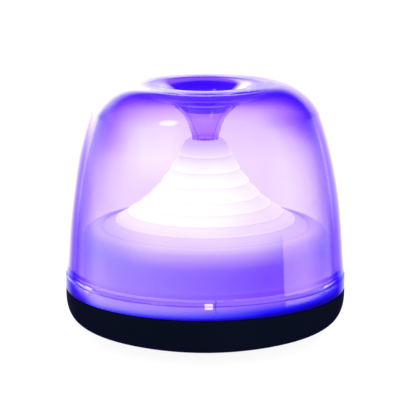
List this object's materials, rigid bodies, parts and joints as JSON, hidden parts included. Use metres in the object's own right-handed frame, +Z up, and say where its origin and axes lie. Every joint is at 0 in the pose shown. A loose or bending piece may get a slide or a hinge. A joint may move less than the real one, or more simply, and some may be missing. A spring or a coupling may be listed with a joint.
{
  "type": "floating pool light",
  "caption": "Floating pool light: clear thick-walled dome with a trumpet-shaped well in its top, stepped diffuser inside, rounded black battery hull below.",
  "frame": {"origin": "centre of the flat foot under the hull, on the light's vertical axis", "axes": "+Z up along the axis of the dome, -Y towards the front, +X to the right seen from the front; the power button is under the back, towards +Y"},
  "size_m": [0.1612, 0.1612, 0.1447],
  "materials": {
    "clear_dome": "polished clear plastic, lit violet",
    "opal_diffuser": "satin translucent white",
    "opal_ring": "satin translucent white",
    "black_hull": "satin moulded black",
    "black_door": "fine textured black",
    "rubber": "matt",
    "grey_plastic": "matt moulded",
    "button_grey": "matt silicone over plastic",
    "white_plastic": "matt moulded",
    "board": "white solder mask",
    "epoxy": "moulded epoxy",
    "capacitor_can": "bare can",
    "zinc_steel": "zinc plated",
    "spring_steel": "bright wire",
    "nickel": "nickel plated strip",
    "cell_sleeve": "plain printed sleeve with bare ends",
    "led_package": "moulded package with clear fill",
    "red_lead": "insulated wire",
    "black_lead": "insulated wire"
  },
  "bodies": {
    "housing": {"ballast_ring": "zinc_steel", "ballast_screw_1": "zinc_steel", "ballast_screw_2": "zinc_steel", "ballast_screw_3": "zinc_steel", "battery_holder": "grey_plastic", "battery_plug": "white_plastic", "board_screw_1": "zinc_steel", "board_screw_2": "zinc_steel", "board_screw_3": "zinc_steel", "bridge_plate_back": "nickel", "bridge_plate_front": "nickel", "button_seal": "rubber", "capacitor": "capacitor_can", "cell_1": "cell_sleeve", "cell_2": "cell_sleeve", "cell_3": "cell_sleeve", "contact_negative": "nickel", "contact_positive": "nickel", "contact_spring_1": "spring_steel", "contact_spring_2": "spring_steel", "contact_spring_3": "spring_steel", "controller_chip": "epoxy", "deck": "white_plastic", "deck_screw_1": "zinc_steel", "deck_screw_2": "zinc_steel", "deck_screw_3": "zinc_steel", "diffuser": "opal_diffuser", "dome": "clear_dome", "dome_seal": "rubber", "holder_screw_1": "zinc_steel", "holder_screw_2": "zinc_steel", "hull": "black_hull", "lead_negative": "black_lead", "lead_positive": "red_lead", "led_1": "led_package", "led_2": "led_package", "led_3": "led_package", "led_4": "led_package", "led_5": "led_package", "led_6": "led_package", "led_board": "board", "lock_ring": "opal_ring", "switch_board": "board", "switch_body": "epoxy", "switch_lead": "black_lead", "switch_screw_1": "zinc_steel", "switch_screw_2": "zinc_steel"},
    "door": {"battery_door": "black_door", "door_seal": "rubber"},
    "button": {"power_button": "button_grey", "button_clip": "spring_steel", "button_spring": "spring_steel"},
    "plunger": {"switch_plunger": "white_plastic"}
  },
  "joints": [
    {"name": "door_twist", "type": "hinge", "parent": "housing", "child": "door", "pos_m": [0, 0, 0.0045], "axis": [0, 0, -1], "range_deg": [0, 40]},
    {"name": "button_press", "type": "slide", "parent": "housing", "child": "button", "axis": [0, 0, 1], "range_m": [0, 0.0015], "stiffness_N_per_m": 1200, "springref_m": -0.0005, "deforming": ["button_spring"]},
    {"name": "switch_press", "type": "slide", "parent": "housing", "child": "plunger", "axis": [0, 0, 1], "range_m": [0, 0.0015]}
  ],
  "couplings": [
    {"joint": "switch_press", "follows": "button_press", "ratio": 1}
  ]
}
